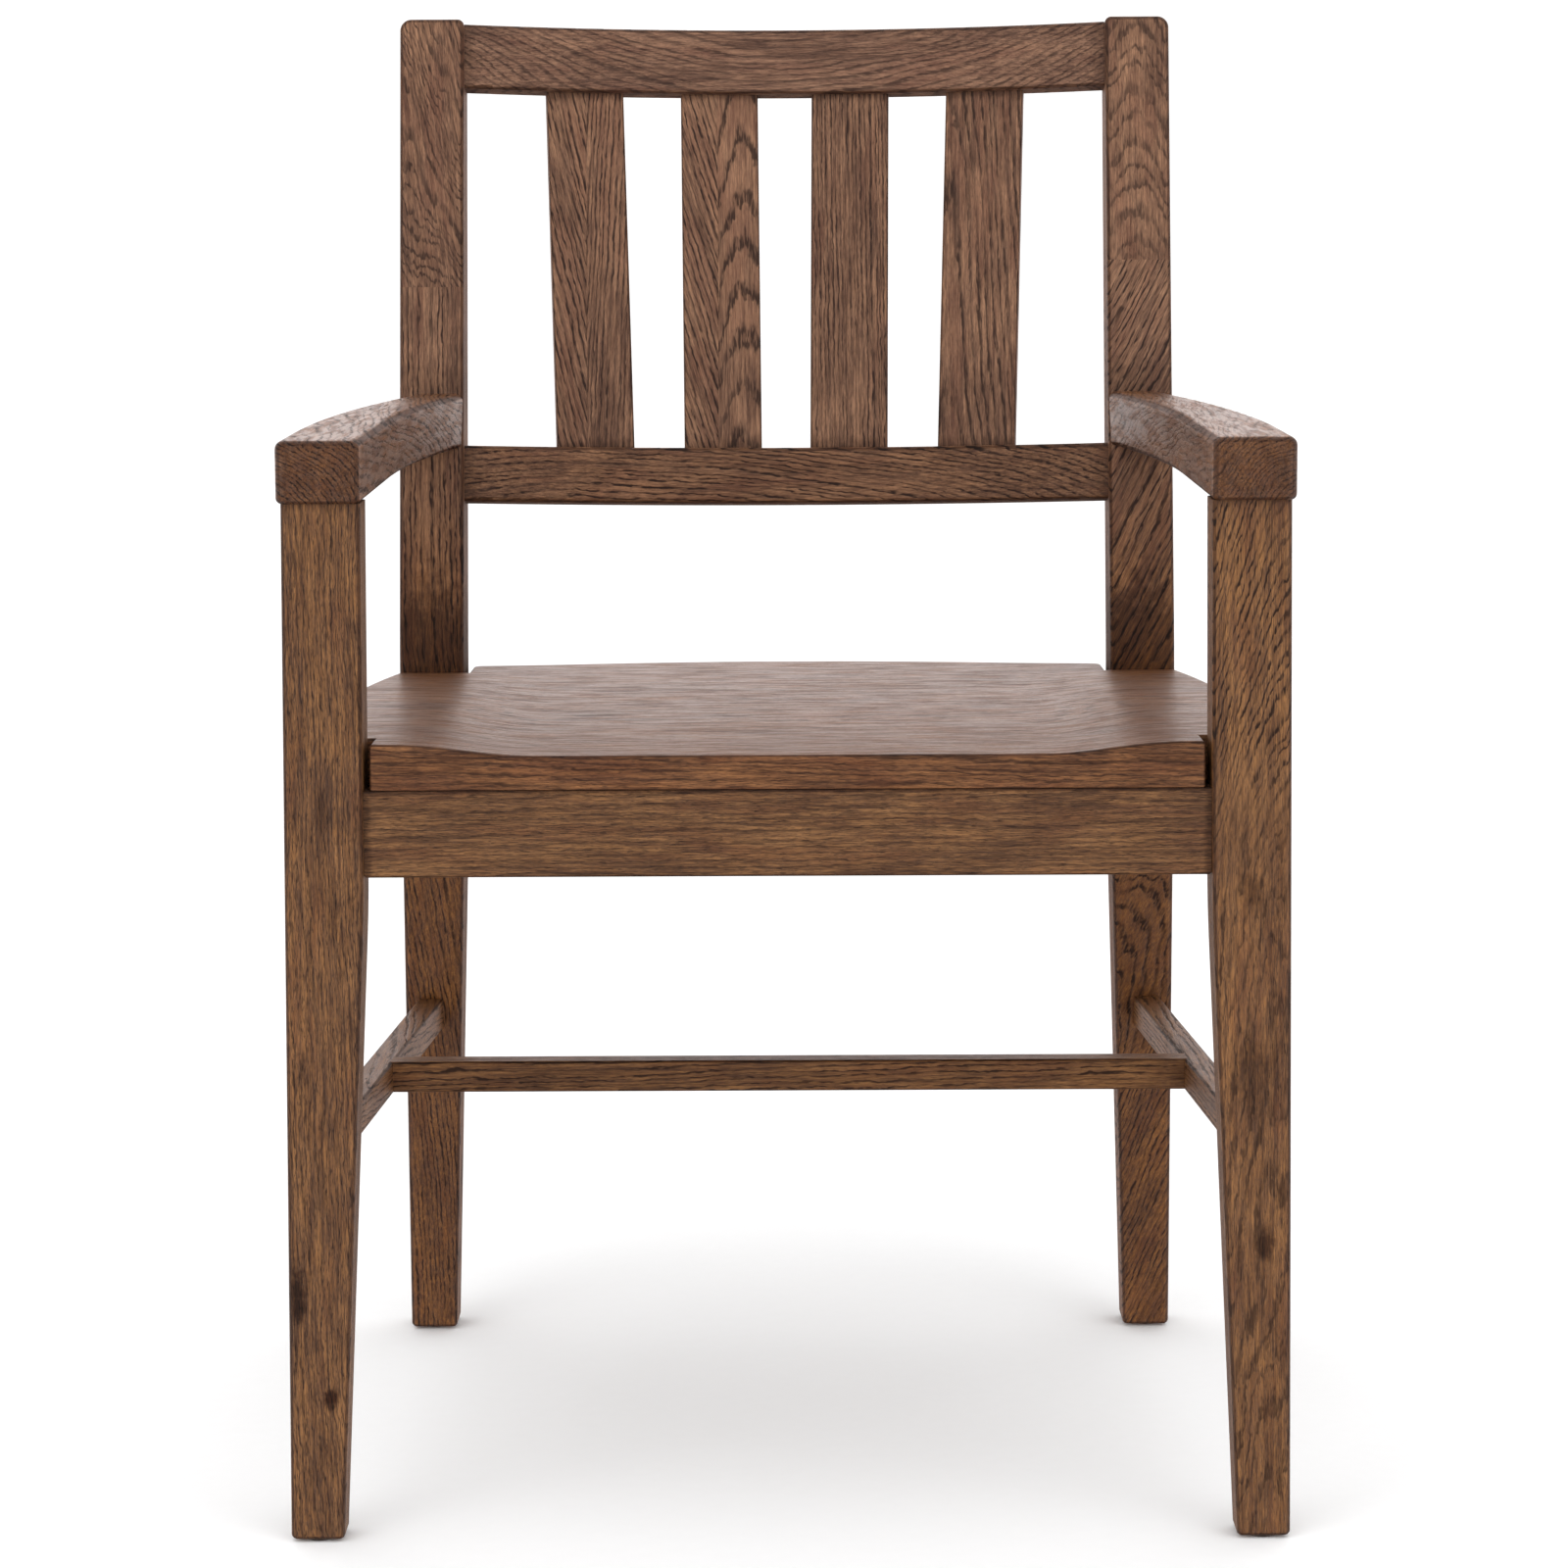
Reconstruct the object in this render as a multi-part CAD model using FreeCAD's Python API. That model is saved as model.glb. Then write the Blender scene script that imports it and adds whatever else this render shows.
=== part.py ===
import FreeCAD
import Part

import math
import os

from FreeCAD import Vector

# Wooden armchair in solid oak: two front legs that carry nearly level arms that curve inwards, two bent
# rear posts, a curved crest rail and lower back rail with four fanned slats, a scooped plank seat notched
# round all four uprights, aprons with corner blocks under it, and an H stretcher on tapered legs.
#
# Millimetres. Every piece is drawn in a working frame with X to the sitter's left, Y = 0 at the front
# legs' front faces and growing backwards, and Z = 0 on the floor. export() moves it to the part's own
# frame, whose origin is on the floor under the middle of the chair's bounding box.
# A right-hand piece is the one on the +X side; its left-hand twin is the mirror image.

# ---- driving dimensions --------------------------------------------------------------------------
arm_top_z = 660.0            # floor to the top of the arms at the front
arm_thickness = 37.0
seat_front_z = 481.5         # top of the seat plank at its front corners
seat_thickness = 27.6
seat_drop = 7.3              # how much lower the plank lies at the rear posts than at the front
apron_height = 51.5
post_top_z = 922.0           # highest point of the chair

leg_outer_x = 295.3          # half the spread over the front legs' outer faces, at the apron
leg_splay = math.radians(0.5)  # the front legs' slight outward lean
leg_width = 46.5             # front leg, across X, above the taper
leg_depth = 33.0
leg_foot_width = 32.0
leg_foot_depth = 26.0
leg_taper_drop = 20.0        # the front legs' taper starts this far below the apron
post_outer_x = 266.7         # half the spread over the rear posts' outer faces
post_width = 44.3            # rear post, across X
post_depth = 44.0            # rear post, front to back at the seat
post_foot_width = 32.4
post_foot_out = 2.0          # how far the rear legs spread at the foot, past the posts' outer faces
post_foot_depth = 32.0
post_top_depth = 34.0
post_front_y = 415.0         # front face of the rear posts at seat height
post_foot_y = 449.0          # front face of the rear posts at the floor
post_top_y = 490.0           # front face of the rear posts at the top

glide_height = 1.5           # nylon glide below each leg
glide_r = 10.0
glide_pin_r = 1.6
glide_pin_length = 15.0

rail_thickness = 22.0        # aprons, crest and lower back rail
rail_setback = 5.0           # back rails, behind the posts' front faces
rail_bow = 24.5              # how far the back rails bow backwards in the middle
crest_height = 45.0
crest_below_top = 2.6        # crest rail's top edge, below the posts' tops
low_rail_height = 38.8
low_rail_bottom = 110.5      # along the post, up from the bend at the seat

slat_width = 53.9
slat_thickness = 12.0
slat_top_x = (-140.3, -46.0, 46.0, 140.3)
slat_low_x = (-133.0, -44.0, 44.0, 133.0)
slat_tongue = 10.0           # length of a slat's end inside each rail

arm_width = 49.5             # at the front; the two sides close up towards the post
arm_rise = math.radians(0.5)  # how much the arm climbs towards the back
arm_front_overhang = 3.0
arm_outer_overhang = 3.0     # past the leg's outer face, at the front
arm_outer_sweep = (80.0, 1750.0)   # where the outer side starts to turn in, and its radius
arm_inner_sweep = (180.0, 1480.0)

apron_setback = 3.0
stretcher_top_z = 243.0
stretcher_height = 21.3
stretcher_width = 17.5
cross_stretcher_y = 235.0    # centre of the cross stretcher

tenon_thickness = 10.0
tenon_length = 22.0
stub_thickness = 8.0         # stretcher tenons
stub_length = 14.0
dowel_r = 5.0
dowel_length = 48.0
block_height = 22.0
block_reach = 66.0           # how far a corner block runs along each apron
screw_shank_r = 2.2
screw_head_r = 4.2
screw_head_height = 3.0

# ---- places worked out from them -----------------------------------------------------------------
arm_under_z = arm_top_z - arm_thickness
seat_under_z = seat_front_z - seat_thickness
apron_under_z = seat_under_z - apron_height
leg_inner_x = leg_outer_x - leg_width
post_inner_x = post_outer_x - post_width
post_rear_y = post_front_y + post_depth
bend_z = seat_front_z + 1.0                  # height at which the posts begin to recline
recline = math.atan2(post_top_y - post_front_y, post_top_z - bend_z)
post_above_bend = (post_top_z - bend_z) / math.cos(recline)
crest_top = post_above_bend - crest_below_top
crest_bottom = crest_top - crest_height
low_rail_top = low_rail_bottom + low_rail_height
rail_bow_r = (post_inner_x ** 2 + rail_bow ** 2) / (2 * rail_bow)
seat_tilt = math.atan2(seat_drop, post_front_y)

upright_round = 3.5          # edge radius of legs and posts
post_outer_corner_r = 8.0    # the posts' top corners, seen from the front
post_inner_corner_r = 4.5
taper_bend_r = 900.0         # easing where the legs' taper starts
post_bend_r = 260.0          # easing of the posts' bends


# ---- helpers -------------------------------------------------------------------------------------
def box(x0, x1, y0, y1, z0, z1):
    return Part.makeBox(x1 - x0, y1 - y0, z1 - z0, Vector(x0, y0, z0))


def rounded_wire(corners):
    """Closed wire through corners given as (point, radius), each turned with an arc of that radius."""
    edges = []
    ends = []
    for i, (point, radius) in enumerate(corners):
        before = (corners[i - 1][0] - point).normalize()
        after = (corners[(i + 1) % len(corners)][0] - point).normalize()
        if radius == 0:
            ends.append((point, point, None))
            continue
        half = before.getAngle(after) / 2
        inward = (before + after).normalize()
        reach = radius / math.tan(half)
        middle = point + inward * (radius / math.sin(half) - radius)
        ends.append((point + before * reach, point + after * reach, middle))
    for i, (start, end, middle) in enumerate(ends):
        if middle is not None:
            edges.append(Part.Arc(start, middle, end).toShape())
        edges.append(Part.LineSegment(end, ends[(i + 1) % len(ends)][0]).toShape())
    return Part.Wire(edges)


def prism(corners, direction):
    return Part.Face(rounded_wire(corners)).extrude(direction)


def plan_prism(points, z0, z1):
    """Extrusion of a sharp-cornered plan outline."""
    return prism([(Vector(x, y, z0), 0) for x, y in points], Vector(0, 0, z1 - z0))


def round_edges(shape, radius, wanted):
    """Fillets the edges for which wanted(edge) is true."""
    return shape.makeFillet(radius, [e for e in shape.Edges if wanted(e)])


def upright_edge(x, y):
    """Picks the vertical edge that stands at (x, y)."""
    def wanted(edge):
        b = edge.BoundBox
        near = abs(b.XMin - x) + abs(b.XMax - x) + abs(b.YMin - y) + abs(b.YMax - y) < 1.0
        return near and b.ZLength > 1.0
    return wanted


def at_height(z):
    """Picks the edges that lie in the horizontal plane at z."""
    return lambda edge: abs(edge.BoundBox.ZMin - z) < 0.01 and abs(edge.BoundBox.ZMax - z) < 0.01


def mirrored(shape):
    return shape.mirror(Vector(0, 0, 0), Vector(1, 0, 0))


def largest_solid(shape):
    return max(shape.Solids, key=lambda s: s.Volume)


def merged(shape, *others):
    """Union with the shared faces cleaned away, as one solid."""
    for other in others:
        shape = shape.fuse(other)
    return largest_solid(shape.removeSplitter())


def to_back_frame(shape):
    """Moves a shape drawn with Y behind the posts' front faces and Z along the posts from the bend."""
    shape.rotate(Vector(0, 0, 0), Vector(1, 0, 0), -math.degrees(recline))
    shape.translate(Vector(0, post_front_y, bend_z))
    return shape


def back_point(behind, along):
    """(y, z) of a point in the back frame."""
    y = post_front_y + behind * math.cos(recline) + along * math.sin(recline)
    z = bend_z - behind * math.sin(recline) + along * math.cos(recline)
    return y, z


def bow_depth(x):
    """How far behind the rail's ends its curve has gone at x."""
    return math.sqrt(rail_bow_r ** 2 - x ** 2) - math.sqrt(rail_bow_r ** 2 - post_inner_x ** 2)


def side_line_x(y, front_x, rear_x):
    """X of a side member's centre line at y; it runs in from the front leg to the rear post."""
    share = (y - leg_depth) / (post_front_y - leg_depth)
    return front_x + (rear_x - front_x) * share


def leg_outer_at(z):
    """X of the front leg's outer face at height z."""
    apron_middle = apron_under_z + apron_height / 2
    return leg_outer_x + (apron_middle - z) * math.tan(leg_splay)


def seat_under_at(y):
    """Height of the seat's underside at y."""
    return seat_under_z - y * math.tan(seat_tilt)


# ---- uprights ------------------------------------------------------------------------------------
def flat_across(edge):
    """True for the short level edges where a taper starts; they are tangent and need no rounding."""
    b = edge.BoundBox
    return b.ZLength < 0.01 and b.ZMin > glide_height + 1


def front_leg_blank():
    """Leg that leans slightly outwards, tapered on its two inner faces below the apron."""
    leg_top_z = arm_top_z
    taper_z = apron_under_z - leg_taper_drop
    front_view = [
        (Vector(leg_outer_at(arm_under_z) - leg_width, 0, leg_top_z), 0),
        (Vector(leg_outer_at(taper_z) - leg_width, 0, taper_z), taper_bend_r),
        (Vector(leg_outer_at(glide_height) - leg_foot_width, 0, glide_height), 0),
        (Vector(leg_outer_at(glide_height), 0, glide_height), 0),
        (Vector(leg_outer_at(arm_under_z), 0, leg_top_z), 0),
    ]
    side_view = [
        (Vector(0, leg_depth, leg_top_z), 0),
        (Vector(0, leg_depth, taper_z), taper_bend_r),
        (Vector(0, leg_foot_depth, glide_height), 0),
        (Vector(0, 0, glide_height), 0),
        (Vector(0, 0, leg_top_z), 0),
    ]
    leg = prism(front_view, Vector(0, leg_depth, 0)).common(prism(side_view, Vector(400, 0, 0)))
    leg = largest_solid(leg)
    top = at_height(leg_top_z)
    leg = round_edges(leg, upright_round, lambda e: e.Length > 20 and not top(e) and not flat_across(e))
    return largest_solid(leg.cut(above_arm_underside()))


def rear_post_blank():
    """Bent post: it splays back below the seat, stands upright beside it and reclines above it."""
    top_front = back_point(0, post_above_bend)
    top_rear = back_point(post_top_depth, post_above_bend)
    side_view = [
        (Vector(0, post_foot_y, glide_height), 0),
        (Vector(0, post_front_y, apron_under_z), post_bend_r),
        (Vector(0, post_front_y, bend_z), post_bend_r),
        (Vector(0, top_front[0], top_front[1]), 0),
        (Vector(0, top_rear[0], top_rear[1]), 0),
        (Vector(0, post_rear_y, bend_z), post_bend_r),
        (Vector(0, post_rear_y, apron_under_z), post_bend_r),
        (Vector(0, post_foot_y + post_foot_depth, glide_height), 0),
    ]
    front_view = [
        (Vector(post_inner_x, 0, post_top_z + 10), 0),
        (Vector(post_inner_x, 0, apron_under_z), taper_bend_r),
        (Vector(post_outer_x + post_foot_out - post_foot_width, 0, glide_height), 0),
        (Vector(post_outer_x + post_foot_out, 0, glide_height), 0),
        (Vector(post_outer_x, 0, apron_under_z), taper_bend_r),
        (Vector(post_outer_x, 0, post_top_z + 10), 0),
    ]
    post = prism(side_view, Vector(400, 0, 0)).common(prism(front_view, Vector(0, 600, 0)))
    post = largest_solid(post)
    post = round_edges(post, post_outer_corner_r, post_top_corner(post_outer_x))
    post = round_edges(post, post_inner_corner_r, post_top_corner(post_inner_x))
    return round_edges(post, upright_round, needs_upright_round)


def near_post_top(edge):
    return edge.BoundBox.ZMin > post_top_z - 16


def post_top_corner(x):
    """Picks the edge that runs from front to back over a post's top on its side at x."""
    def wanted(edge):
        b = edge.BoundBox
        return near_post_top(edge) and abs(b.XMin - x) < 0.01 and abs(b.XMax - x) < 0.01
    return wanted


def needs_upright_round(edge):
    """All of a post's edges but the tangent ones, where a taper or a rounded corner starts."""
    if near_post_top(edge):
        return edge.BoundBox.XLength > 0.5
    return edge.Length > 20 and not flat_across(edge)


def above_arm_underside():
    """Space over the plane of the arms' undersides."""
    space = box(-400, 400, -50, 600, arm_under_z, arm_under_z + 100)
    return raised_as_arm(space)


def raised_as_arm(shape):
    """Tilts a shape drawn for a level arm by the arm's rise, about the front edge of its underside."""
    shape.rotate(Vector(0, 0, arm_under_z), Vector(1, 0, 0), math.degrees(arm_rise))
    return shape


# ---- arms ----------------------------------------------------------------------------------------
def arm_blank():
    """Board with two curved sides: straight over the leg, then swept in and narrowed to the post."""
    front_y = -arm_front_overhang
    past_y = post_top_y + 20.0
    outer_x = leg_outer_at(arm_under_z) + arm_outer_overhang
    inner_x = outer_x - arm_width

    def side_points(x, sweep):
        """The front corner, then three points along the swept stretch."""
        start_y, radius = sweep
        points = [Vector(x, front_y, arm_under_z)]
        for share in (0, 0.5, 1):
            y = start_y + (past_y - start_y) * share
            drop = radius - math.sqrt(radius ** 2 - (y - start_y) ** 2)
            points.append(Vector(x - drop, y, arm_under_z))
        return points

    outer = side_points(outer_x, arm_outer_sweep)
    inner = side_points(inner_x, arm_inner_sweep)
    front_outer, front_inner = outer[0], inner[0]
    plan = Part.Wire([
        Part.LineSegment(front_inner, front_outer).toShape(),
        Part.LineSegment(front_outer, outer[1]).toShape(),
        Part.Arc(*outer[1:]).toShape(),
        Part.LineSegment(outer[3], inner[3]).toShape(),
        Part.Arc(*reversed(inner[1:])).toShape(),
        Part.LineSegment(inner[1], front_inner).toShape(),
    ])
    arm = Part.Face(plan).extrude(Vector(0, 0, arm_thickness))
    front_corner_r = 6.0
    top_edge_r = 5.5
    under_edge_r = 3.5
    for corner in (front_outer, front_inner):
        arm = round_edges(arm, front_corner_r, upright_edge(corner.x, corner.y))
    arm = round_edges(arm, top_edge_r, at_height(arm_top_z))
    arm = raised_as_arm(round_edges(arm, under_edge_r, at_height(arm_under_z)))
    low_y = back_point(0, (arm_under_z - 20 - bend_z) / math.cos(recline))[0]
    high_y = back_point(0, (arm_top_z + 20 - bend_z) / math.cos(recline))[0]
    behind_face = prism([
        (Vector(0, low_y, arm_under_z - 20), 0),
        (Vector(0, 600, arm_under_z - 20), 0),
        (Vector(0, 600, arm_top_z + 20), 0),
        (Vector(0, high_y, arm_top_z + 20), 0),
    ], Vector(400, 0, 0))
    return largest_solid(arm.cut(behind_face))


def leg_tenon():
    """Tenon on the front leg's top, inside the arm."""
    half_width = 13.0
    half_depth = 9.0
    height = 20.0
    x = leg_outer_at(arm_under_z) - leg_width / 2
    y = leg_depth / 2
    z0, z1 = arm_under_z - 5, arm_under_z + height
    return box(x - half_width, x + half_width, y - half_depth, y + half_depth, z0, z1)


def arm_dowel(x):
    """Dowel square to the post's front face, half in the post and half in the arm's end."""
    middle_z = arm_under_z + arm_thickness / 2 + post_front_y * math.tan(arm_rise)
    along = (middle_z - bend_z) / math.cos(recline)
    dowel = Part.makeCylinder(dowel_r, dowel_length, Vector(x, -dowel_length / 2, along), Vector(0, 1, 0))
    dowel = round_edges(dowel, 1.0, lambda e: True)
    return to_back_frame(dowel)


def arm_dowels():
    return [arm_dowel(post_inner_x + post_width * share) for share in (0.25, 0.62)]


# ---- back ----------------------------------------------------------------------------------------
def back_rail(bottom, height):
    """Rail curved backwards in plan, with tenons that enter both posts."""
    front_r = rail_bow_r
    rear_r = rail_bow_r + rail_thickness
    centre_y = rail_setback - math.sqrt(rail_bow_r ** 2 - post_inner_x ** 2)
    past = 1.12

    def ring_point(radius, share):
        angle = share * math.asin(post_inner_x / rail_bow_r) * past
        return Vector(radius * math.sin(angle), centre_y + radius * math.cos(angle), bottom)

    front = [ring_point(front_r, share) for share in (-1, 0, 1)]
    rear = [ring_point(rear_r, share) for share in (1, 0, -1)]
    plan = Part.Wire([
        Part.Arc(*front).toShape(),
        Part.LineSegment(front[2], rear[0]).toShape(),
        Part.Arc(*rear).toShape(),
        Part.LineSegment(rear[2], front[0]).toShape(),
    ])
    rail = Part.Face(plan).extrude(Vector(0, 0, height))
    edge_r = 3.0
    rail = round_edges(rail, edge_r, lambda e: e.Length > 100)
    rail = rail.common(box(-post_inner_x, post_inner_x, -50, 100, bottom, bottom + height))
    tenon_y = rail_setback + (rail_thickness - tenon_thickness) / 2 + 1.0
    shoulder = 8.0
    for side in (-1, 1):
        x0, x1 = sorted((side * (post_inner_x - 12), side * (post_inner_x + tenon_length)))
        low, high = bottom + shoulder, bottom + height - shoulder
        tenon = box(x0, x1, tenon_y, tenon_y + tenon_thickness, low, high)
        rail = rail.fuse(tenon)
    return to_back_frame(largest_solid(rail.removeSplitter()))


def slat(low_x, top_x):
    """Flat slat turned to face along the rails' curve and leaning outwards; both ends go into the rails."""
    def middle(x, along):
        return Vector(x, rail_setback + rail_thickness / 2 + bow_depth(x), along)

    low = middle(low_x, low_rail_top)
    top = middle(top_x, crest_bottom)
    axis = (top - low).normalize()
    facing = -math.degrees(math.asin((low_x + top_x) / 2 / rail_bow_r))
    length = (top - low).Length + 2 * slat_tongue
    blank = box(-slat_width / 2, slat_width / 2, -slat_thickness / 2, slat_thickness / 2, 0, length)
    blank = round_edges(blank, 1.6, lambda e: e.BoundBox.ZLength > 100)
    blank.rotate(Vector(0, 0, 0), Vector(0, 0, 1), facing)
    blank.rotate(Vector(0, 0, 0), Vector(1, 0, 0), -math.degrees(math.asin(axis.y)))
    blank.rotate(Vector(0, 0, 0), Vector(0, 1, 0), math.degrees(math.atan2(axis.x, axis.z)))
    blank.translate(low - axis * slat_tongue)
    return to_back_frame(blank)


# ---- seat ----------------------------------------------------------------------------------------
def scoop_depth(x, y):
    """How deep the seat's hollow is at (x, y)."""
    deepest = 8.0
    edge_x, floor_x = 232.0, 150.0
    rear_start, rear_end = 250.0, 470.0
    across = min(1.0, max(0.0, (edge_x - abs(x)) / (edge_x - floor_x)))
    along = min(1.0, max(0.0, (rear_end - y) / (rear_end - rear_start)))
    front_ease = 0.86 + 0.14 * min(1.0, max(0.0, y / 160.0))
    smooth = (1 - math.cos(math.pi * across)) / 2
    fade = 0.12 + 0.88 * (1 - math.cos(math.pi * along)) / 2
    return deepest * smooth * fade * front_ease


def scoop_cutter(top_z):
    """Everything above the hollowed top surface."""
    xs = [-320 + 20 * i for i in range(33)]
    ys = [-30 + 20 * i for i in range(30)]
    surface = Part.BSplineSurface()
    surface.interpolate([[Vector(x, y, top_z - scoop_depth(x, y)) for y in ys] for x in xs])
    return surface.toShape().extrude(Vector(0, 0, 60))


def seat_plank():
    """Thick plank, hollowed for the sitter, notched round the four uprights, with swept sides."""
    front_y = 3.0
    front_x = leg_inner_x - 4.0
    notch_y = leg_depth + 2.0
    side_x = leg_outer_x - 5.0
    side_straight_y = 160.0
    side_sweep_r = 1400.0
    rear_notch_x = post_inner_x - 3.5
    rear_notch_y = post_front_y - 1.0
    rear_bow = 33.0
    z = seat_under_z

    def side_point(y):
        drop = side_sweep_r - math.sqrt(side_sweep_r ** 2 - (y - side_straight_y) ** 2)
        return Vector(side_x - drop, y, z)

    right = [
        Vector(front_x, front_y, z), Vector(front_x, notch_y, z),
        Vector(side_x, notch_y, z), Vector(side_x, side_straight_y, z),
    ]
    middle_y = (side_straight_y + rear_notch_y) / 2
    sweep = [side_point(y) for y in (side_straight_y, middle_y, rear_notch_y)]
    rear = [Vector(rear_notch_x, rear_notch_y, z), Vector(rear_notch_x, post_rear_y, z)]

    def flip(p):
        return Vector(-p.x, p.y, p.z)

    def half_edges(turn):
        points = [turn(p) for p in right]
        edges = [Part.LineSegment(a, b).toShape() for a, b in zip(points, points[1:])]
        edges.append(Part.Arc(*[turn(p) for p in sweep]).toShape())
        points = [turn(p) for p in [sweep[2]] + rear]
        return edges + [Part.LineSegment(a, b).toShape() for a, b in zip(points, points[1:])]

    edges = half_edges(lambda p: p) + half_edges(flip)
    edges.append(Part.Arc(rear[1], Vector(0, post_rear_y + rear_bow, z), flip(rear[1])).toShape())
    edges.append(Part.LineSegment(right[0], flip(right[0])).toShape())
    plank = Part.Face(Part.Wire(Part.__sortEdges__(edges))).extrude(Vector(0, 0, seat_thickness + 10))
    for side in (-1, 1):
        plank = round_edges(plank, 7.0, upright_edge(side * rear_notch_x, post_rear_y))
        plank = round_edges(plank, 6.0, upright_edge(side * side_x, notch_y))
        plank = round_edges(plank, 1.5, upright_edge(side * front_x, front_y))
        plank = round_edges(plank, 4.5, upright_edge(side * sweep[2].x, rear_notch_y))
    plank = largest_solid(plank.cut(scoop_cutter(seat_front_z)))
    plank = round_edges(plank, 2.0, lambda e: e.BoundBox.ZMin > seat_front_z - 12)
    plank = round_edges(plank, 1.2, at_height(seat_under_z))
    plank.rotate(Vector(0, 0, seat_under_z), Vector(1, 0, 0), -math.degrees(seat_tilt))
    return plank


# ---- under the seat ------------------------------------------------------------------------------
def below_seat():
    """Space under the seat's sloping underside."""
    return prism([
        (Vector(-400, -50, seat_under_at(-50)), 0),
        (Vector(-400, 600, seat_under_at(600)), 0),
        (Vector(-400, 600, 0), 0),
        (Vector(-400, -50, 0), 0),
    ], Vector(800, 0, 0))


def front_apron():
    y0 = apron_setback
    y1 = y0 + rail_thickness
    apron = box(-leg_inner_x, leg_inner_x, y0, y1, apron_under_z, seat_under_z).common(below_seat())
    apron = round_edges(largest_solid(apron), 2.0, at_height(apron_under_z))
    return with_x_tenons(apron, leg_inner_x, y0)


def rear_apron():
    y0 = post_front_y + 11.0
    y1 = y0 + rail_thickness
    apron = box(-post_inner_x, post_inner_x, y0, y1, apron_under_z, seat_under_z).common(below_seat())
    apron = round_edges(largest_solid(apron), 2.0, at_height(apron_under_z))
    return with_x_tenons(apron, post_inner_x, y0)


def with_x_tenons(apron, end_x, y0):
    """Adds a tenon at each end of an apron that runs along X."""
    mid_y = y0 + rail_thickness / 2
    for side in (-1, 1):
        x0, x1 = sorted((side * (end_x - 6), side * (end_x + tenon_length)))
        tenon = box(x0, x1, mid_y - tenon_thickness / 2, mid_y + tenon_thickness / 2,
                    apron_under_z + 8, apron_under_z + 36)
        apron = apron.fuse(tenon)
    return largest_solid(apron.removeSplitter())


def side_apron_x(y):
    """Centre line of the side apron."""
    return side_line_x(y, leg_outer_x - leg_width / 2, post_outer_x - post_width / 2)


def side_apron():
    half = rail_thickness / 2
    y0, y1 = leg_depth, post_front_y
    plan = [
        (side_apron_x(y0) - half, y0), (side_apron_x(y0) + half, y0),
        (side_apron_x(y1) + half, y1), (side_apron_x(y1) - half, y1),
    ]
    apron = plan_prism(plan, apron_under_z, seat_under_z).common(below_seat())
    apron = largest_solid(apron)
    apron = round_edges(apron, 2.0, lambda e: e.Length > 200 and at_height(apron_under_z)(e))
    # The tenons lie below the front apron's, so that the two don't meet inside the leg.
    z0, z1 = apron_under_z + 5, apron_under_z + 38
    reach = 18.0
    for y_in, y_out in ((y0 + 6, y0 - reach), (y1 - 6, y1 + reach)):
        x = side_apron_x((y_in + y_out) / 2)
        tenon = box(x - 5, x + 5, min(y_in, y_out), max(y_in, y_out), z0, z1)
        apron = apron.fuse(tenon)
    return largest_solid(apron.removeSplitter())


def corner_block(front):
    """Block across an inner corner, screwed to both aprons, that also holds the seat down."""
    inner = lambda y: side_apron_x(y) - rail_thickness / 2
    if front:
        face_y = apron_setback + rail_thickness
        edge_x, edge_y = leg_inner_x - 0.3, leg_depth + 0.3
        plan = [
            (edge_x - block_reach, face_y), (edge_x, face_y), (edge_x, edge_y), (inner(edge_y), edge_y),
            (inner(edge_y + block_reach), edge_y + block_reach),
        ]
        top = seat_under_at(edge_y + block_reach) - 1.0
    else:
        face_y = post_front_y + 11.0
        edge_x, edge_y = post_inner_x - 0.3, post_front_y - 0.3
        plan = [
            (edge_x - block_reach, face_y), (edge_x, face_y), (edge_x, edge_y), (inner(edge_y), edge_y),
            (inner(edge_y - block_reach), edge_y - block_reach),
        ]
        top = seat_under_at(face_y) - 1.0
    return plan_prism(plan, top - block_height, top)


def side_stretcher(leg, post):
    """Square bar from the front leg to the rear leg, with a stub tenon at each end."""
    half = stretcher_width / 2
    z0, z1 = stretcher_top_z - stretcher_height, stretcher_top_z
    y0, y1 = 22.0, post_front_y + 32.0

    def at(y):
        return side_line_x(y, 280.0, 251.0)

    plan = [(at(y0) - half, y0), (at(y0) + half, y0), (at(y1) + half, y1), (at(y1) - half, y1)]
    bar = plan_prism(plan, z0, z1)
    bar = round_edges(bar, 2.0, lambda e: e.Length > 200)
    bar = largest_solid(bar.cut(leg).cut(post))
    low, high = z0 + 4, z1 - 4
    front_end = (leg_depth - 3 - stub_length, leg_depth + 4)
    rear_end = (post_front_y + 10, post_front_y + 16 + stub_length)
    for stub_y0, stub_y1 in (front_end, rear_end):
        x = at((stub_y0 + stub_y1) / 2)
        stub = box(x - stub_thickness / 2, x + stub_thickness / 2, stub_y0, stub_y1, low, high)
        bar = bar.fuse(stub)
    return largest_solid(bar.removeSplitter())


def cross_stretcher(right_bar, left_bar):
    """Bar between the side stretchers, with a stub tenon at each end."""
    half = stretcher_width / 2
    z0, z1 = stretcher_top_z - stretcher_height + 1, stretcher_top_z
    bar = box(-270, 270, cross_stretcher_y - half, cross_stretcher_y + half, z0, z1)
    bar = round_edges(bar, 2.0, lambda e: e.Length > 200)
    bar = max(bar.cut(right_bar).cut(left_bar).Solids, key=lambda s: s.Volume)
    end_x = bar.BoundBox.XMax
    y0, y1 = cross_stretcher_y - stub_thickness / 2, cross_stretcher_y + stub_thickness / 2
    for side in (-1, 1):
        x0, x1 = sorted((side * (end_x - 8), side * (end_x + 9)))
        stub = box(x0, x1, y0, y1, z0 + 4, z1 - 4)
        bar = bar.fuse(stub)
    return largest_solid(bar.removeSplitter())


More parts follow.
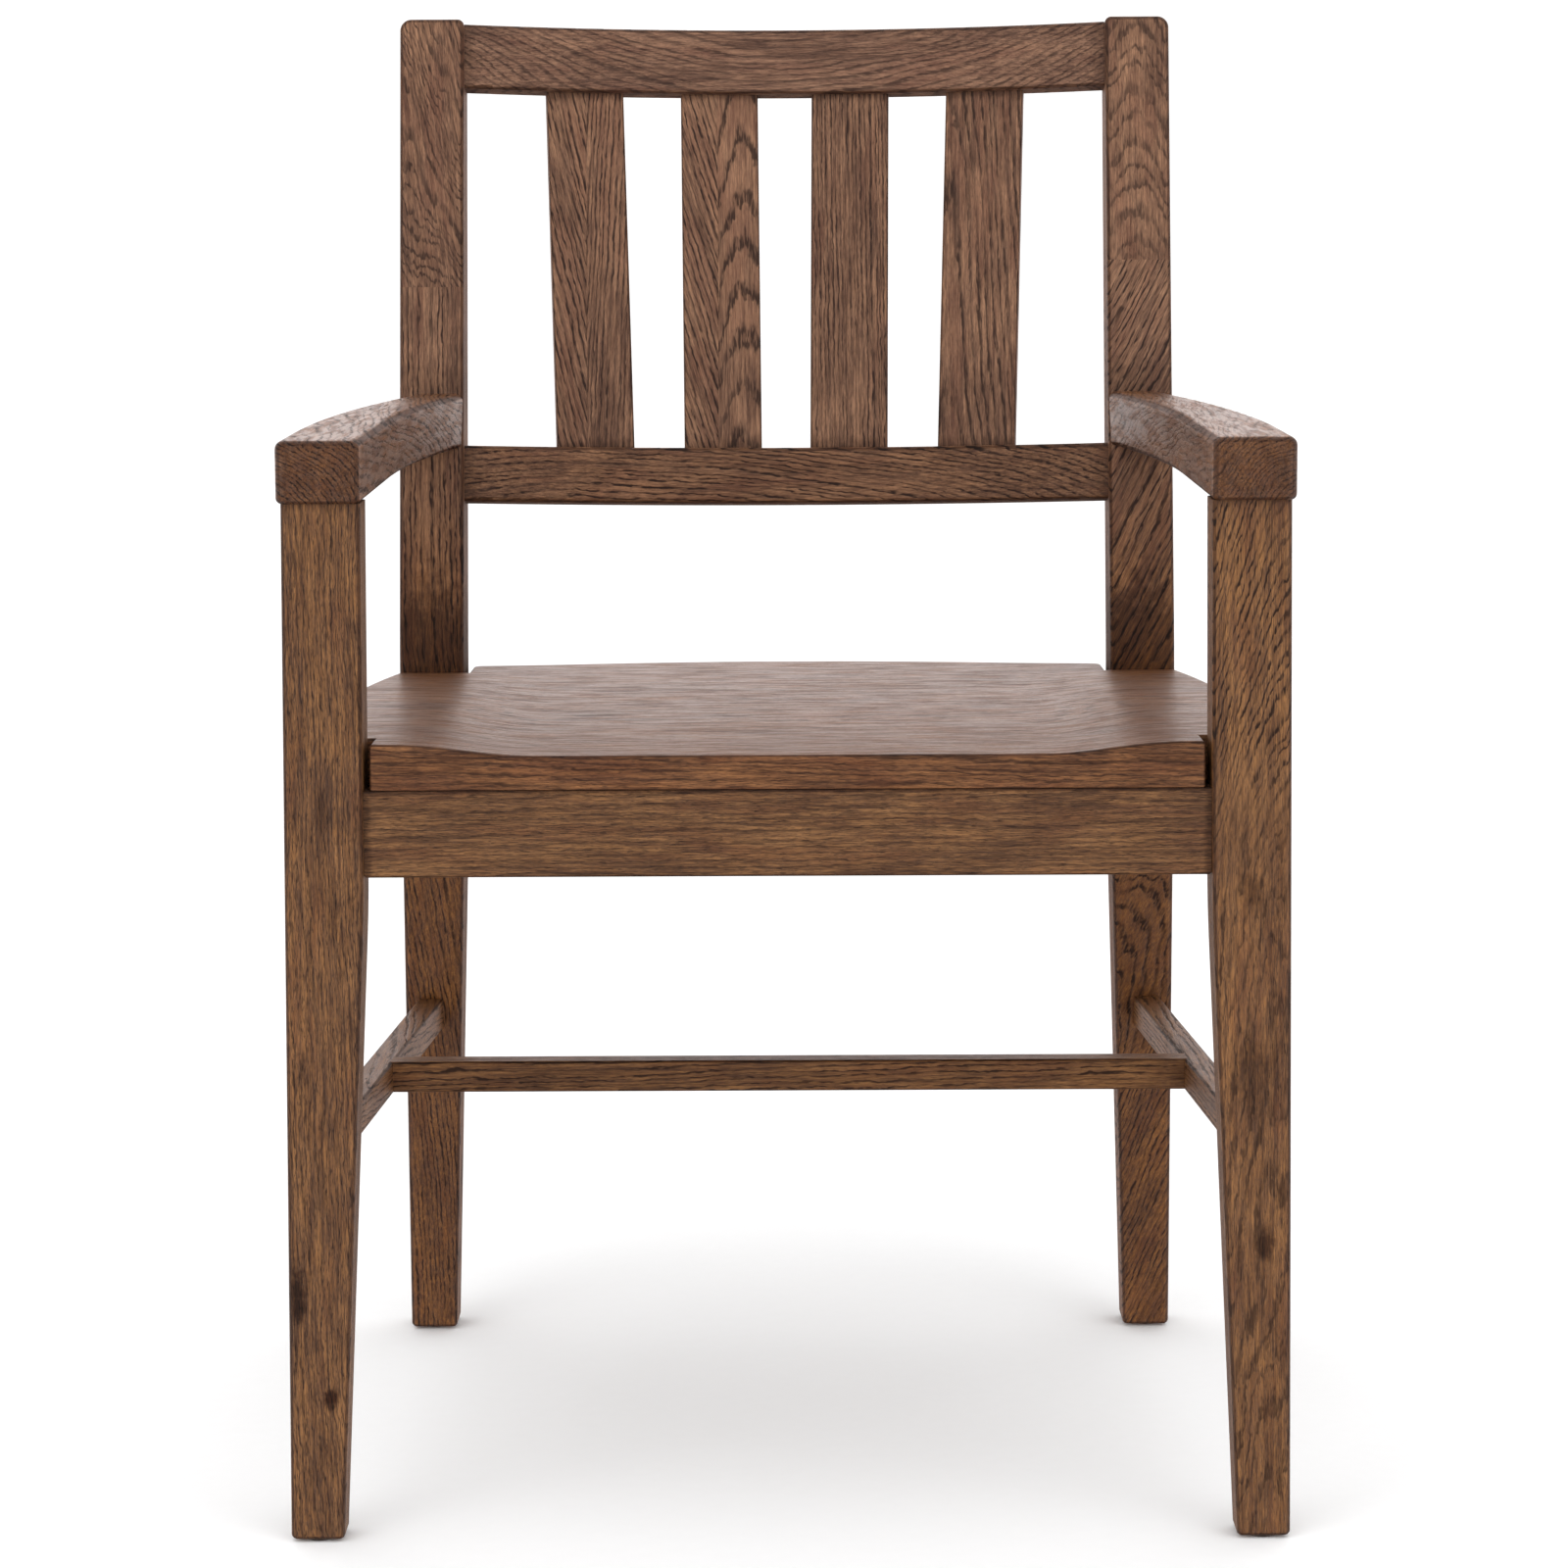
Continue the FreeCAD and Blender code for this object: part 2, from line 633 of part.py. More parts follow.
# ---- fasteners and feet --------------------------------------------------------------------------
def wood_screw(head, direction, length):
    """Countersunk wood screw from the middle of its head's face, with a pointed shank."""
    head_part = Part.makeCone(screw_head_r, screw_shank_r, screw_head_height, head, direction)
    shank = Part.makeCylinder(screw_shank_r, length - 8, head, direction)
    tip = Part.makeCone(screw_shank_r, 0.5, 8, head + direction * (length - 8), direction)
    return merged(head_part, shank, tip)


def with_recess(screw, head, direction):
    """The screw with its driver recess."""
    return screw.cut(Part.makeCylinder(1.6, 1.6, head, direction))


def block_screws(front):
    """Two screws that pull a corner block to its aprons, and the pockets for their heads."""
    z = corner_block(front).BoundBox.Center.z
    if front:
        face_y = apron_setback + rail_thickness
        edge_y = leg_depth + 0.3
        start_y = face_y + 16.0
        across_y = edge_y + block_reach - 18.0
        into_apron = Vector(0, -1, 0)
        edge_x = leg_inner_x - 0.3
    else:
        face_y = post_front_y + 11.0
        edge_y = post_front_y - 0.3
        start_y = face_y - 16.0
        across_y = edge_y - block_reach + 18.0
        into_apron = Vector(0, 1, 0)
        edge_x = post_inner_x - 0.3
    first = (Vector(edge_x - block_reach + 24, start_y, z), into_apron)
    second = (Vector(side_apron_x(across_y) - rail_thickness / 2 - 16.0, across_y, z), Vector(1, 0, 0))
    return [first, second]


def seat_screw_place(front):
    """Foot of the screw that runs up through a corner block into the seat."""
    block = corner_block(front)
    centre = block.CenterOfMass
    return Vector(centre.x, centre.y, block.BoundBox.ZMin)


def foot_glide(x, y):
    """Domed nylon disc with a pin that is driven up into the foot."""
    disc = Part.makeCylinder(glide_r, glide_height, Vector(x, y, 0))
    disc = round_edges(disc, 0.6, at_height(0))
    pin = Part.makeCylinder(glide_pin_r, glide_pin_length, Vector(x, y, 0))
    return merged(disc, pin)


# ---- assembly ------------------------------------------------------------------------------------
def build():
    """Every node's shape in the working frame."""
    nodes = {}
    leg = front_leg_blank()
    post = rear_post_blank()
    arm = arm_blank()

    slats = [slat(low, top) for low, top in zip(slat_low_x, slat_top_x)]
    crest = back_rail(crest_bottom, crest_height)
    low_rail = back_rail(low_rail_bottom, low_rail_height)
    nodes["crest_rail"] = crest.cut(Part.makeCompound(slats))
    nodes["lower_back_rail"] = low_rail.cut(Part.makeCompound(slats))
    for number, piece in enumerate(slats, 1):
        nodes[f"back_slat_{number}"] = piece

    seat = seat_plank()
    apron_front = front_apron()
    apron_rear = rear_apron()
    apron_side = side_apron()
    bar = side_stretcher(leg, post)
    cross = cross_stretcher(bar, mirrored(bar))

    block_nodes = {}
    block_screw_list = []
    seat_screw_list = []
    for name, front in (("front", True), ("rear", False)):
        block = corner_block(front)
        for head, direction in block_screws(front):
            screw = wood_screw(head, direction, 30.0)
            pocket = Part.makeCylinder(screw_head_r + 0.8, 60, head, direction * -1)
            block = block.cut(screw).cut(pocket)
            block_screw_list.append(with_recess(screw, head, direction))
            if direction.x == 0 and front:
                apron_front = apron_front.cut(screw).cut(mirrored(screw))
            elif direction.x == 0:
                apron_rear = apron_rear.cut(screw).cut(mirrored(screw))
            else:
                apron_side = apron_side.cut(screw)
        place = seat_screw_place(front)
        riser = wood_screw(place, Vector(0, 0, 1), 36.0)
        seat = seat.cut(riser).cut(mirrored(riser))
        seat_screw_list.append(with_recess(riser, place, Vector(0, 0, 1)))
        block_nodes[name] = largest_solid(block.cut(riser))

    tenon = leg_tenon()
    arm = arm.cut(tenon)
    leg_done = merged(leg, tenon)
    dowels = arm_dowels()
    joined_to_post = [crest, low_rail, apron_rear, apron_side, bar] + dowels
    post_done = post
    for piece in joined_to_post:
        post_done = post_done.cut(piece)
    for piece in (apron_front, apron_side, bar):
        leg_done = leg_done.cut(piece)
    for dowel in dowels:
        arm = arm.cut(dowel)
    bar_done = bar.cut(cross)

    leg_glide = foot_glide(leg_outer_at(0) - leg_foot_width / 2, leg_foot_depth / 2)
    post_foot_x = post_outer_x + post_foot_out - post_foot_width / 2
    post_glide = foot_glide(post_foot_x, post_foot_y + post_foot_depth / 2)
    leg_done = leg_done.cut(leg_glide)
    post_done = post_done.cut(post_glide)

    nodes["seat"] = seat
    nodes["front_apron"] = apron_front
    nodes["rear_apron"] = apron_rear
    nodes["cross_stretcher"] = cross
    pairs = {
        "front_leg": leg_done, "rear_post": post_done, "arm": arm, "side_apron": apron_side,
        "side_stretcher": bar_done, "front_corner_block": block_nodes["front"],
        "rear_corner_block": block_nodes["rear"], "front_foot_glide": leg_glide,
        "rear_foot_glide": post_glide,
    }
    for name, shape in pairs.items():
        nodes[name + "_right"] = shape
        nodes[name + "_left"] = mirrored(shape)
    for name, shapes in (("arm_dowels", dowels), ("corner_block_screws", block_screw_list),
                         ("seat_screws", seat_screw_list)):
        nodes[name] = Part.makeCompound(shapes + [mirrored(s) for s in shapes])
    return nodes


def export(nodes):
    whole = Part.makeCompound(list(nodes.values())).optimalBoundingBox()
    os.makedirs("parts", exist_ok=True)
    for name, shape in nodes.items():
        shape.translate(Vector(0, -whole.Center.y, 0))
        shape.exportStep(f"parts/{name}.step")
    print("size", [round(v, 2) for v in (whole.XLength, whole.YLength, whole.ZLength)],
          "shift", round(-whole.Center.y, 3), "nodes", len(nodes))
    for name, shape in nodes.items():
        volume = round(shape.Volume / 1000, 2)
        print(name, "solids", len(shape.Solids), "valid", shape.isValid(), "cm3", volume)


export(build())
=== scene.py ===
import math

import bpy
from mathutils import Matrix, Vector

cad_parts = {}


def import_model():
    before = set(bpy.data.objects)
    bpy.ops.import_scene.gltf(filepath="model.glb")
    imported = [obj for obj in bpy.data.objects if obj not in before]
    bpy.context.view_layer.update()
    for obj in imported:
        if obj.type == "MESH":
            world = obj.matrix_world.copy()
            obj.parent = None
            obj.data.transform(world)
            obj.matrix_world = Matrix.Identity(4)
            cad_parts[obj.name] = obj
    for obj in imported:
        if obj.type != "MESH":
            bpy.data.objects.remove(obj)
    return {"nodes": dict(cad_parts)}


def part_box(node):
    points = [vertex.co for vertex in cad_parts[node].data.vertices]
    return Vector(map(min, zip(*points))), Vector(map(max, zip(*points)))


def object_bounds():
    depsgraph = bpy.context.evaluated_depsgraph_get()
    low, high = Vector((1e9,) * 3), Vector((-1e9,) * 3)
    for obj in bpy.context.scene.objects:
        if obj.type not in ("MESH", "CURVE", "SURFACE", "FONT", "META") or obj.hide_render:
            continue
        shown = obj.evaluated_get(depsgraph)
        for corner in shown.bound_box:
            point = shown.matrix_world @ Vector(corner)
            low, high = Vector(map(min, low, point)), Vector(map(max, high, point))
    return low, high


# Looks for the wooden armchair. Every CAD piece keeps its own mesh. Each wooden member gets its own cut of
# stained, open-grained oak under satin lacquer; blocks, dowels, screws and glides get plainer materials.
# Metres, in the CAD frame: +Z up, the chair faces -Y.

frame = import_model()
nodes = frame["nodes"]
cad_low, cad_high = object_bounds()


# ---- node helpers --------------------------------------------------------------------------------
class Tree:
    """Short calls for adding and linking shader nodes."""

    def __init__(self, tree):
        self.tree = tree

    def node(self, kind, inputs=(), **settings):
        made = self.tree.nodes.new(kind)
        for name, value in settings.items():
            setattr(made, name, value)
        for key, value in dict(inputs).items():
            self.put(made.inputs[key], value)
        return made

    def put(self, socket, value):
        if isinstance(value, bpy.types.NodeSocket):
            self.tree.links.new(value, socket)
        else:
            socket.default_value = value

    def math(self, operation, *values, clamp=False):
        made = self.tree.nodes.new("ShaderNodeMath")
        made.operation = operation
        made.use_clamp = clamp
        for socket, value in zip(made.inputs, values):
            self.put(socket, value)
        return made.outputs[0]

    def vector(self, operation, a, b):
        made = self.tree.nodes.new("ShaderNodeVectorMath")
        made.operation = operation
        self.put(made.inputs[0], a)
        self.put(made.inputs[1], b)
        return made.outputs[0]

    def combine(self, x, y, z):
        return self.node("ShaderNodeCombineXYZ", {0: x, 1: y, 2: z}).outputs[0]

    def split(self, vector):
        return self.node("ShaderNodeSeparateXYZ", {0: vector}).outputs

    def noise(self, vector, scale=1.0, detail=2.0, roughness=0.5):
        return self.node("ShaderNodeTexNoise", {
            "Vector": vector, "Scale": scale, "Detail": detail, "Roughness": roughness}).outputs

    def wander(self, value, amount):
        """A 0-1 noise turned into a swing of amount about zero."""
        return self.math("MULTIPLY", self.math("SUBTRACT", value, 0.5), amount)

    def stretch(self, vector, x, y, z):
        """The vector with each axis divided by a length, so that a noise gets features of that size."""
        return self.vector("MULTIPLY", vector, (1 / x, 1 / y, 1 / z))

    def ramp(self, value, low, high, out_low=0.0, out_high=1.0):
        """The value eased from out_low at low to out_high at high."""
        made = self.node("ShaderNodeMapRange", {0: value, 1: low, 2: high, 3: out_low, 4: out_high})
        made.interpolation_type = "SMOOTHSTEP"
        return made.outputs[0]

    def mix(self, share, a, b, blend="MIX"):
        made = self.tree.nodes.new("ShaderNodeMix")
        made.data_type = "RGBA"
        made.blend_type = blend
        self.put(made.inputs[0], share)
        self.put(made.inputs[6], a)
        self.put(made.inputs[7], b)
        return made.outputs[2]


def rgb(red, green, blue):
    """Linear colour from 0-255 display values."""
    def linear(value):
        value /= 255
        return value / 12.92 if value <= 0.04045 else ((value + 0.055) / 1.055) ** 2.4
    return (linear(red), linear(green), linear(blue), 1.0)


# ---- oak -----------------------------------------------------------------------------------------
SEAT_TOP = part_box("seat")[1][2]
MM = 0.001
STAIN_STOPS = (  # the stained wood between its darkest and palest streaks
    (0.0, rgb(62, 38, 25)), (0.35, rgb(98, 65, 42)), (0.62, rgb(124, 87, 58)), (1.0, rgb(158, 115, 78)))
REDDISH = rgb(116, 70, 46)
PORE = rgb(45, 27, 17)
DARK_STAIN_AND_SHADE = (0.19, 0.12, 0.06, 1.0)  # what the darkest stain and the painted shade leave of the colour under it
# strength of the shade painted on rounded edges
EDGE_PAINTED_SHADE = 0.65
IOR = 1.45
SPECULAR_LEVEL = 0.25
COAT_ROUGHNESS = 0.3
RAISED_ROUGHNESS, SUNKEN_ROUGHNESS = 0.6, 0.75
BUMP_STRENGTH, BUMP_DEPTH = 0.6, 0.4 * MM
FIGURE = {  # what may differ from board to board, in mm, with the values of a plain rift-sawn board
    "Pith Y": 0.0, "Pith Z": -60.0, "Drift": 0.05, "Bow": 0.0, "Waver": 3.0, "Ring": 3.2,
    "Line": 0.85, "Pores": 1.0, "Ripple": 0.4,
}


def oak_group():
    """Stained oak from a board's own coordinates in mm: X along the grain, Y across, Z through it.

    The rings are circles round the pith, which lies at (Pith Y, Pith Z). Drift makes them run out
    along the board, which draws cathedrals where the pith is close under the face, and Bow bends them.
    """
    group = bpy.data.node_groups.new("oak", "ShaderNodeTree")
    face = group.interface
    face.new_socket("Board", in_out="INPUT", socket_type="NodeSocketVector")
    for name, value in FIGURE.items():
        face.new_socket(name, in_out="INPUT", socket_type="NodeSocketFloat").default_value = value
    face.new_socket("Color", in_out="OUTPUT", socket_type="NodeSocketColor")
    face.new_socket("Height", in_out="OUTPUT", socket_type="NodeSocketFloat")

    t = Tree(group)
    given = group.nodes.new("NodeGroupInput").outputs
    board = given["Board"]

    # Rings round the pith, wandering slowly and with a finer shiver.
    slow = t.noise(t.stretch(board, 110, 30, 30), detail=1.0)["Color"]
    swing = t.vector("MULTIPLY", t.vector("SUBTRACT", slow, (0.5, 0.5, 0.5)), (0.0, 2.0, 2.0))
    swing = t.vector("MULTIPLY", swing, t.combine(0.0, given["Waver"], given["Waver"]))
    u, v, w = t.split(t.vector("ADD", board, swing))
    bend = t.math("MULTIPLY", t.math("MULTIPLY", u, u), given["Bow"])
    across = t.math("SUBTRACT", t.math("SUBTRACT", v, given["Pith Y"]), bend)
    depth = t.math("SUBTRACT", w, given["Pith Z"])
    squares = t.math("ADD", t.math("MULTIPLY", across, across), t.math("MULTIPLY", depth, depth))
    radius = t.math("SQRT", squares)
    radius = t.math("ADD", radius, t.math("MULTIPLY", u, given["Drift"]))
    shiver = t.noise(t.stretch(board, 15, 5, 5), detail=2.0, roughness=0.65)["Fac"]
    radius = t.math("ADD", radius, t.wander(shiver, 3.2))
    uneven = t.node("ShaderNodeTexNoise", {"W": t.math("DIVIDE", radius, 11.0), "Detail": 1.0, "Scale": 1.0},
                    noise_dimensions="1D").outputs["Fac"]
    radius = t.math("ADD", radius, t.math("MULTIPLY", uneven, 5.0))
    phase = t.math("FRACT", t.math("DIVIDE", radius, given["Ring"]))
    line = t.math("MULTIPLY", t.ramp(phase, 0.0, 0.12), t.ramp(phase, 0.52, 0.26))

    # The dark lines are rows of pores, so they break into dashes and fade here and there.
    def grain(length, width, detail=1.0, roughness=0.5):
        """Noise in streaks of a length along the board and a width across it."""
        return t.noise(t.stretch(board, length, width, width), detail=detail, roughness=roughness)["Fac"]

    dash = t.ramp(grain(9.0, 1.3), 0.36, 0.52, 0.35, 1.0)
    fading = t.ramp(grain(60, 9), 0.32, 0.56, 0.5, 1.0)
    vessel = t.ramp(grain(7.5, 0.55), 0.52, 0.66)
    fine = t.ramp(grain(4.0, 0.4), 0.54, 0.70)
    streak = grain(55, 1.9, detail=3.0, roughness=0.7)
    brushed = grain(13, 0.8, detail=2.0, roughness=0.7)
    cloud = grain(90, 22, detail=2.0)
    smudge = grain(26, 7, detail=2.0)

    dark = t.math("MULTIPLY", t.math("MULTIPLY", line, dash), t.math("MULTIPLY", fading, given["Line"]))
    pores = t.math("MULTIPLY", vessel, t.math("ADD", t.math("MULTIPLY", line, 0.35), 0.3))
    pores = t.math("MAXIMUM", pores, t.math("MULTIPLY", fine, 0.45))
    dark = t.math("MAXIMUM", dark, t.math("MULTIPLY", pores, given["Pores"]))

    # Stain takes unevenly over the board.
    value = t.wander(streak, 1.4)
    for noise, amount in ((brushed, 1.3), (cloud, 0.8), (smudge, 0.5)):
        value = t.math("ADD", value, t.wander(noise, amount))
    value = t.math("ADD", value, 0.6, clamp=True)
    ramp = t.node("ShaderNodeValToRGB", {0: value})
    ramp.color_ramp.elements.remove(ramp.color_ramp.elements[0])
    ramp.color_ramp.elements[0].position = STAIN_STOPS[0][0]
    ramp.color_ramp.elements[0].color = STAIN_STOPS[0][1]
    for place, colour in STAIN_STOPS[1:]:
        ramp.color_ramp.elements.new(place).color = colour
    colour = t.mix(t.ramp(grain(70, 12), 0.48, 0.7, 0.0, 0.3), ramp.outputs[0], REDDISH)
    colour = t.mix(dark, colour, PORE)

    height = t.math("MULTIPLY", dark, -1.0)
    height = t.math("ADD", height, t.math("MULTIPLY", brushed, 0.5))
    height = t.math("ADD", height, t.math("MULTIPLY", smudge, given["Ripple"]))
    out = group.nodes.new("NodeGroupOutput").inputs
    t.put(out["Color"], colour)
    t.put(out["Height"], height)
    return group


OAK = oak_group()
RECLINE = math.radians(9.7)  # of the posts and slats above the seat
LEAN_SIN, LEAN_COS = math.sin(RECLINE), math.cos(RECLINE)
GRAIN = {  # directions of the grain, then of the face that shows the figure
    "up": (Vector((0, 0, 1)), Vector((0, -1, 0))),
    "across": (Vector((1, 0, 0)), Vector((0, -1, 0))),
    "seat": (Vector((1, 0, 0)), Vector((0, 0, 1))),
    "back": (Vector((0, 1, 0)), Vector((0, 0, 1))),
    "back_side": (Vector((0, 1, 0)), Vector((1, 0, 0))),
    "leaning": (Vector((0, LEAN_SIN, LEAN_COS)), Vector((0, -LEAN_COS, LEAN_SIN))),
}


def board_turn(grain):
    """Euler turn from the frame to a board's own axes."""
    along, normal = GRAIN[grain]
    return Matrix((along, normal.cross(along), normal)).transposed().to_euler()


def figured(t, board, values):
    """Colour and height of one board's figure, turned by degrees in the face and slid by mm."""
    values = dict(values)
    turn, slide = values.pop("turn", 0.0), values.pop("slide", (0, 0, 0))
    board = t.node("ShaderNodeMapping", {
        "Vector": board, "Location": slide, "Rotation": (0, 0, -math.radians(turn))}).outputs[0]
    group = t.node("ShaderNodeGroup", {"Board": board}, node_tree=OAK)
    for key, value in values.items():
        t.put(group.inputs[key], value)
    return group.outputs["Color"], group.outputs["Height"]


def position_mask(t, place, ragged, axis, begin, end):
    """1 before begin, falling to 0 at end along a frame axis, with a ragged edge."""
    there = t.math("ADD", place["XYZ".index(axis)], t.wander(ragged, abs(end - begin) * 1.2))
    return t.ramp(there, begin, end, 1.0, 0.0)


def edge_mask(t, normal, strength):
    """Painted shade on rounded edges, where the surface faces none of the frame's directions."""
    x, y, z = t.split(t.vector("ABSOLUTE", normal, (0, 0, 0)))
    straight = t.math("MAXIMUM", x, t.math("MAXIMUM", y, z))
    return t.ramp(straight, 0.97, 0.86, 0.0, strength)


def stain_and_painted_shade(t, board, coordinates, shade_and_stain_strips, marks):
    """How much darker the colour gets: painted shade on the edges and in the strips (darker end grain on the
    arms), and knots, stains and painted shade at the marks.
    """
    ragged = t.noise(board, 0.12, 3.0, 0.6)["Fac"]
    place = t.split(coordinates["Object"])
    darkening = edge_mask(t, coordinates["Normal"], EDGE_PAINTED_SHADE)
    for axis, begin, end, strength in shade_and_stain_strips:
        spot = t.math("MULTIPLY", position_mask(t, place, ragged, axis, begin, end), strength)
        darkening = t.math("MAXIMUM", darkening, spot)
    for along, across, length, width, strength in marks:
        away = t.vector("SUBTRACT", board, (along, across, 0))
        away = t.vector("MULTIPLY", away, (1 / length, 1 / width, 0))
        away = t.node("ShaderNodeVectorMath", {0: away}, operation="LENGTH").outputs["Value"]
        away = t.math("ADD", away, t.wander(ragged, 1.4))
        darkening = t.math("MAXIMUM", darkening, t.ramp(away, 0.3, 1.0, strength, 0.0))
    return darkening


def lacquer(t, board, height, darkening, normal, coat, side_coat, patchy):
    """The coat's weight: thinner in the pores, where stain and painted shade darken the colour, and in
    streaks.
    """
    film = t.noise(t.stretch(board, 38, 5, 5), detail=3.0, roughness=0.6)["Fac"]
    film = t.ramp(film, 0.38, 0.60, 1 - patchy, 1.0)
    film = t.math("MULTIPLY", film, t.ramp(height, -0.7, 0.2, 0.4 * coat, coat))
    film = t.math("MULTIPLY", film, t.math("SUBTRACT", 1.0, darkening))
    level = t.math("ABSOLUTE", t.split(normal)["Z"])
    return t.math("MULTIPLY", film, t.ramp(level, 0.3, 0.8, side_coat, 1.0))


def oak(name, grain, figure, other=(), seam=None, shade_and_stain_strips=(), marks=(), tint=(1, 1, 1), low_tint=None,
        coat=0.5, side_coat=1.0, patchy=0.3):
    """A material for one piece.

    other is the figure beyond seam, an (axis, start, length in mm) of the board over which it takes over:
    a short one is a glue line.
    shade_and_stain_strips lists (axis, from, to, strength), where the colour darkens in the frame: painted
    shade at joins, darker end grain at the arms' fronts.
    marks lists (along, across, length, width, strength) of knots, stains and painted shade at joins, in mm
    of the board.
    low_tint takes tint's place below the seat's top; on the posts it is darker (painted shade) under a bluer
    tint (painted sheen).
    coat is the lacquer's strength, side_coat the share of it on upright faces, and patchy the share that
    comes and goes in streaks.
    """
    node = nodes[name]
    low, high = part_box(name)
    centre = (Vector(low) + Vector(high)) / 2
    material = bpy.data.materials.new("oak_" + name)
    material.use_nodes = True
    t = Tree(material.node_tree)
    surface = material.node_tree.nodes["Principled BSDF"]
    coordinates = t.node("ShaderNodeTexCoord").outputs
    board = t.node("ShaderNodeMapping", {
        "Vector": coordinates["Object"], "Location": centre, "Rotation": board_turn(grain),
        "Scale": (MM,) * 3}, vector_type="TEXTURE").outputs[0]
    colour, height = figured(t, board, figure)
    if other:
        axis, start, length = seam
        beyond = t.ramp(t.split(board)["XYZ".index(axis)], start, start + length)
        other_colour, other_height = figured(t, board, other)
        colour = t.mix(beyond, colour, other_colour)
        step = t.math("MULTIPLY", beyond, t.math("SUBTRACT", other_height, height))
        height = t.math("ADD", step, height)

    darkening = stain_and_painted_shade(t, board, coordinates, shade_and_stain_strips, marks)
    tint = tint + (1.0,)
    # Painted sheen and shade: the posts' tint is bluer above the seat and darker, more golden, below it.
    if low_tint:
        z = t.split(coordinates["Object"])["Z"]
        tint = t.mix(t.ramp(z, SEAT_TOP - 20 * MM, SEAT_TOP + 180 * MM), low_tint + (1.0,), tint)
    colour = t.mix(1.0, colour, tint, "MULTIPLY")
    colour = t.mix(darkening, colour, t.mix(1.0, colour, DARK_STAIN_AND_SHADE, "MULTIPLY"))

    t.put(surface.inputs["Base Color"], colour)
    t.put(surface.inputs["Roughness"], t.ramp(height, -0.5, 0.5, SUNKEN_ROUGHNESS, RAISED_ROUGHNESS))
    surface.inputs["IOR"].default_value = IOR
    surface.inputs["Specular IOR Level"].default_value = SPECULAR_LEVEL
    surface.inputs["Coat Roughness"].default_value = COAT_ROUGHNESS
    film = lacquer(t, board, height, darkening, coordinates["Normal"], coat, side_coat, patchy)
    t.put(surface.inputs["Coat Weight"], film)
    bumped = t.node("ShaderNodeBump", {
        "Height": height, "Strength": BUMP_STRENGTH, "Distance": BUMP_DEPTH})
    t.put(surface.inputs["Normal"], bumped.outputs[0])
    t.put(surface.inputs["Coat Normal"], bumped.outputs[0])
    dress(node, material)


def dress(node, material):
    node.data.materials.clear()
    node.data.materials.append(material)
    for polygon in node.data.polygons:
        polygon.material_index = 0


# ---- boards --------------------------------------------------------------------------------------
ARM_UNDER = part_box("arm_left")[0][2]
ARM_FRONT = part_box("arm_left")[0][1]
RAIL_LOW, RAIL_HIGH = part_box("crest_rail")
LOW_RAIL_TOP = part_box("lower_back_rail")[1][2]
LEG_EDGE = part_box("front_leg_left")[1][0]
APRON_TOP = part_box("front_apron")[1][2]
GLUE_LINE = 0.1  # mm
# Tints of the stain, board by board. The back's bluer tints paint the sheen of the reclined back, and the
# posts' darker, more golden tint below the seat paints shade.
LEGS = (0.82, 0.72, 0.48)
POSTS_LOW_TINT_WITH_PAINTED_SHADE = (0.76, 0.58, 0.27)
BACK_TINT_WITH_PAINTED_SHEEN = (0.98, 1.00, 1.20)
CREST_TINT_WITH_PAINTED_SHEEN = (0.90, 0.93, 1.20)
ARMS = (0.75, 0.61, 0.44)
SEAT = (0.76, 0.63, 0.49)
APRONS = (0.74, 0.67, 0.50)
LOW_RAIL = (0.88, 0.84, 0.88)


def fig(pith, drift=0.05, bow=0.0, waver=3.0, ring=3.2, line=0.95, pores=1.0, ripple=0.4,
        turn=0.0, slide=(0, 0, 0)):
    """One board's figure: FIGURE's values, its turn in the face and its slide."""
    return {"Pith Y": pith[0], "Pith Z": pith[1], "Drift": drift, "Bow": bow, "Waver": waver, "Ring": ring,
            "Line": line, "Pores": pores, "Ripple": ripple, "turn": turn, "slide": slide}


# Painted shade on the front legs just under the arms.
leg_shade_under_arms = (("Z", ARM_UNDER + MM, ARM_UNDER - 6 * MM, 0.45),)
oak("front_leg_left", "up",
    fig((90, -60), 0.015, waver=5.5, ring=2.0, line=0.7, pores=1.7, slide=(0, 11, 3)),
    shade_and_stain_strips=leg_shade_under_arms, tint=LEGS,
    marks=((-234, 1, 10, 6, 1.0), (-171, 20, 26, 9, 0.85), (120, 0, 20, 6, 0.3), (60, -6, 30, 5, 0.3)))
oak("front_leg_right", "up",
    fig((-24, -50), 0.05, waver=5, ring=2.4, line=0.75, pores=1.4, slide=(300, 0, 9)),
    fig((-29, -18), 0.24, waver=3, ring=2.6, line=1.0, pores=1.3, slide=(30, 0, 0)), ("X", 40, 130),
    shade_and_stain_strips=leg_shade_under_arms, tint=LEGS,
    marks=((70, 0, 14, 10, 0.5), (-39, 0, 34, 12, 0.5), (-142, -9, 14, 8, 0.8)))

post_middle = (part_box("rear_post_left")[0][2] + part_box("rear_post_left")[1][2]) / 2
seat_line = (SEAT_TOP - 6 * MM - post_middle) / MM
arm_line = (ARM_UNDER + 40 * MM - post_middle) / MM
